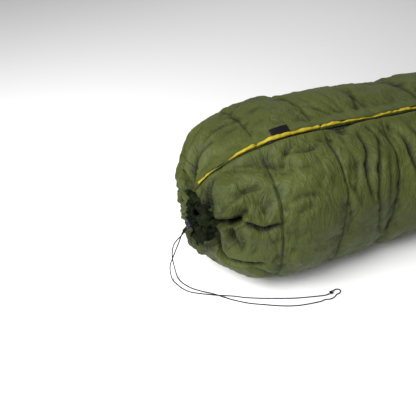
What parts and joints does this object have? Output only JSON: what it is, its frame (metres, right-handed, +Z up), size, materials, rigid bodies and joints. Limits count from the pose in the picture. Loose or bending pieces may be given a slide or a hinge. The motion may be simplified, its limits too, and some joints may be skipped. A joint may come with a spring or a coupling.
{
  "type": "bivy sack",
  "caption": "Quilted, insulated bivy sack lying stuffed out: open head end, ridge zip under a stitched flap, and a foot gathered shut by a drawcord with a cord lock.",
  "frame": {"origin": "middle of the sack's base on the ground, cord left out", "axes": "+X from the foot to the head, -Y towards the zip's side, +Z up"},
  "size_m": [2.0624, 0.5982, 0.383],
  "materials": {
    "shell_fabric": "quilted ripstop, semi-matt",
    "binding_fabric": "woven, folded",
    "insulation": "fibre batting",
    "lining_fabric": "smooth plain weave",
    "cord": "braided sheath",
    "label_fabric": "woven, folded",
    "zip_tape": "herringbone tape",
    "zip_plastic": "moulded coil",
    "zip_metal": "black enamel",
    "stop_metal": "satin",
    "lock_plastic": "fine moulded texture",
    "spring_steel": "drawn wire"
  },
  "bodies": {
    "sack": {"shell_front": "shell_fabric", "shell_back": "shell_fabric", "shell_base": "shell_fabric", "insulation_front": "insulation", "insulation_back": "insulation", "insulation_base": "insulation", "lining_front": "lining_fabric", "lining_back": "lining_fabric", "lining_base": "lining_fabric", "head_hem": "binding_fabric", "foot_hem": "binding_fabric", "hem_cord": "cord", "zip_flap": "shell_fabric", "draft_tube": "lining_fabric", "label": "label_fabric", "zip_tape_front": "zip_tape", "zip_tape_back": "zip_tape", "zip_coil_front": "zip_plastic", "zip_coil_back": "zip_plastic", "zip_stop_foot": "stop_metal", "zip_stop_front": "stop_metal", "zip_stop_back": "stop_metal", "cord_strand_a": "cord", "cord_strand_b": "cord", "cord_knot": "cord"},
    "slider": {"zip_slider": "zip_metal"},
    "puller": {"zip_puller": "zip_metal"},
    "lock": {"cord_lock_body": "lock_plastic", "cord_lock_spring": "spring_steel"},
    "lock_button": {"cord_lock_plunger": "lock_plastic"}
  },
  "joints": [
    {"name": "zip_slide", "type": "slide", "parent": "sack", "child": "slider", "axis": [-1, 0, 0], "range_m": [0, 1.76]},
    {"name": "puller_swing", "type": "hinge", "parent": "slider", "child": "puller", "pos_m": [0.962, -0.07, 0.3697], "axis": [0, 1, 0], "range_deg": [0, 170]},
    {"name": "lock_slide", "type": "slide", "parent": "sack", "child": "lock", "axis": [-0.6, 0, -0.8], "range_m": [0, 0.012]},
    {"name": "lock_press", "type": "slide", "parent": "lock", "child": "lock_button", "axis": [0, 1, 0], "range_m": [0, 0.0035], "stiffness_N_per_m": 300, "springref_m": -0.004}
  ]
}
